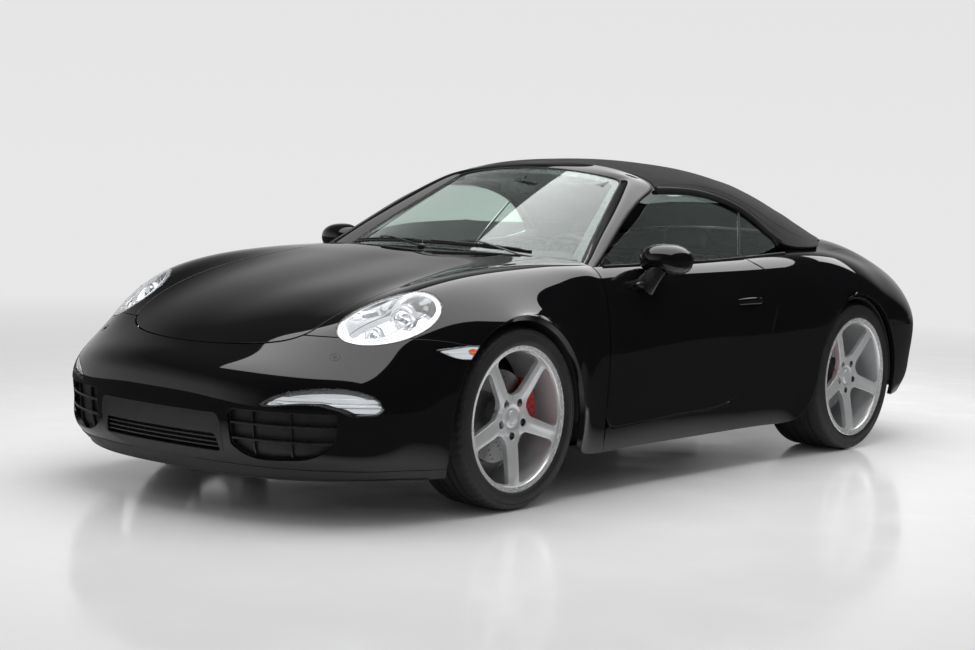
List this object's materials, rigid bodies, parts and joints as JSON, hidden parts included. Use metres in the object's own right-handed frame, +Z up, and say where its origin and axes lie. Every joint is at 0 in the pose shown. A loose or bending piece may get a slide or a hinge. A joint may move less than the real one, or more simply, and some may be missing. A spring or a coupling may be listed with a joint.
{
  "type": "convertible car",
  "caption": "Two-door rear-engined convertible car with raised soft top, opening doors and lids, steering front wheels and free-turning road wheels.",
  "frame": {"origin": "on the ground under the centre of the car's box", "axes": "+X towards the nose, +Y towards the left side, +Z up"},
  "size_m": [4.4744, 2, 1.29],
  "materials": {
    "paint": "gloss black paint",
    "tinted_glass": "green-tinted safety glass",
    "lamp_lens": "clear lamp lens",
    "red_lens": "red lamp lens",
    "lamp_bowl": "grey lamp housing",
    "black_plastic": "textured black",
    "canvas": "woven charcoal hood cloth",
    "seat_leather": "black leather",
    "dash": "soft black moulding",
    "engine_metal": "cast",
    "bright_steel": "polished tips",
    "dark_metal": "cast and forged arms",
    "caliper_red": "red enamel",
    "tyre": "rubber",
    "rim_silver": "silver paint",
    "disc_steel": "machined faces"
  },
  "bodies": {
    "body": {"front_fenders": "paint", "rear_quarters": "paint", "deck_cover": "paint", "floor_pan": "black_plastic", "front_bumper": "paint", "rear_bumper": "paint", "bumper_grilles": "black_plastic", "windscreen_frame": "paint", "windscreen": "tinted_glass", "soft_top": "canvas", "rear_window": "tinted_glass", "quarter_windows": "tinted_glass", "headlamps": "lamp_lens", "bumper_lamps": "lamp_lens", "lamp_housings": "lamp_bowl", "tail_lamps": "red_lens", "front_seats": "seat_leather", "rear_seats": "seat_leather", "dashboard": "dash", "wipers": "black_plastic", "engine": "engine_metal", "exhaust": "bright_steel", "suspension": "dark_metal", "rear_calipers": "caliper_red"},
    "hood": {"hood": "paint"},
    "engine_lid": {"engine_lid": "paint"},
    "steering_wheel": {"steering_wheel": "dash"},
    "left_door": {"left_door": "paint", "left_window": "tinted_glass", "left_mirror": "paint"},
    "right_door": {"right_door": "paint", "right_window": "tinted_glass", "right_mirror": "paint"},
    "front_left_knuckle": {"front_left_knuckle": "dark_metal", "front_left_caliper": "caliper_red"},
    "front_right_knuckle": {"front_right_knuckle": "dark_metal", "front_right_caliper": "caliper_red"},
    "front_left_wheel": {"front_left_tyre": "tyre", "front_left_rim": "rim_silver", "front_left_disc": "disc_steel"},
    "front_right_wheel": {"front_right_tyre": "tyre", "front_right_rim": "rim_silver", "front_right_disc": "disc_steel"},
    "rear_left_wheel": {"rear_left_tyre": "tyre", "rear_left_rim": "rim_silver", "rear_left_disc": "disc_steel"},
    "rear_right_wheel": {"rear_right_tyre": "tyre", "rear_right_rim": "rim_silver", "rear_right_disc": "disc_steel"}
  },
  "joints": [
    {"name": "hood_hinge", "type": "hinge", "parent": "body", "child": "hood", "pos_m": [0.7, 0, 0.885], "axis": [0, -1, 0], "range_deg": [0, 55]},
    {"name": "engine_lid_hinge", "type": "hinge", "parent": "body", "child": "engine_lid", "pos_m": [-1.548, 0, 0.962], "axis": [0, 1, 0], "range_deg": [0, 50]},
    {"name": "left_door_hinge", "type": "hinge", "parent": "body", "child": "left_door", "pos_m": [0.83, 0.85, 0.55], "axis": [0, 0, -1], "range_deg": [0, 62]},
    {"name": "right_door_hinge", "type": "hinge", "parent": "body", "child": "right_door", "pos_m": [0.83, -0.85, 0.55], "axis": [0, 0, 1], "range_deg": [0, 62]},
    {"name": "front_left_steer", "type": "hinge", "parent": "body", "child": "front_left_knuckle", "pos_m": [1.28, 0.766, 0.334], "axis": [0, 0, 1], "range_deg": [-33, 33]},
    {"name": "front_right_steer", "type": "hinge", "parent": "body", "child": "front_right_knuckle", "pos_m": [1.28, -0.766, 0.334], "axis": [0, 0, 1], "range_deg": [-33, 33]},
    {"name": "steering_wheel_turn", "type": "hinge", "parent": "body", "child": "steering_wheel", "pos_m": [0.3, 0.37, 0.8], "axis": [-0.9272, 0, 0.3746], "range_deg": [-465, 465]},
    {"name": "front_left_spin", "type": "hinge", "parent": "front_left_knuckle", "child": "front_left_wheel", "pos_m": [1.28, 0.766, 0.334], "axis": [0, 1, 0], "continuous": true},
    {"name": "front_right_spin", "type": "hinge", "parent": "front_right_knuckle", "child": "front_right_wheel", "pos_m": [1.28, -0.766, 0.334], "axis": [0, 1, 0], "continuous": true},
    {"name": "rear_left_spin", "type": "hinge", "parent": "body", "child": "rear_left_wheel", "pos_m": [-1.17, 0.751, 0.338], "axis": [0, 1, 0], "continuous": true},
    {"name": "rear_right_spin", "type": "hinge", "parent": "body", "child": "rear_right_wheel", "pos_m": [-1.17, -0.751, 0.338], "axis": [0, 1, 0], "continuous": true}
  ],
  "couplings": [
    {"joint": "front_right_steer", "follows": "front_left_steer", "ratio": 1},
    {"joint": "steering_wheel_turn", "follows": "front_left_steer", "ratio": 14}
  ]
}
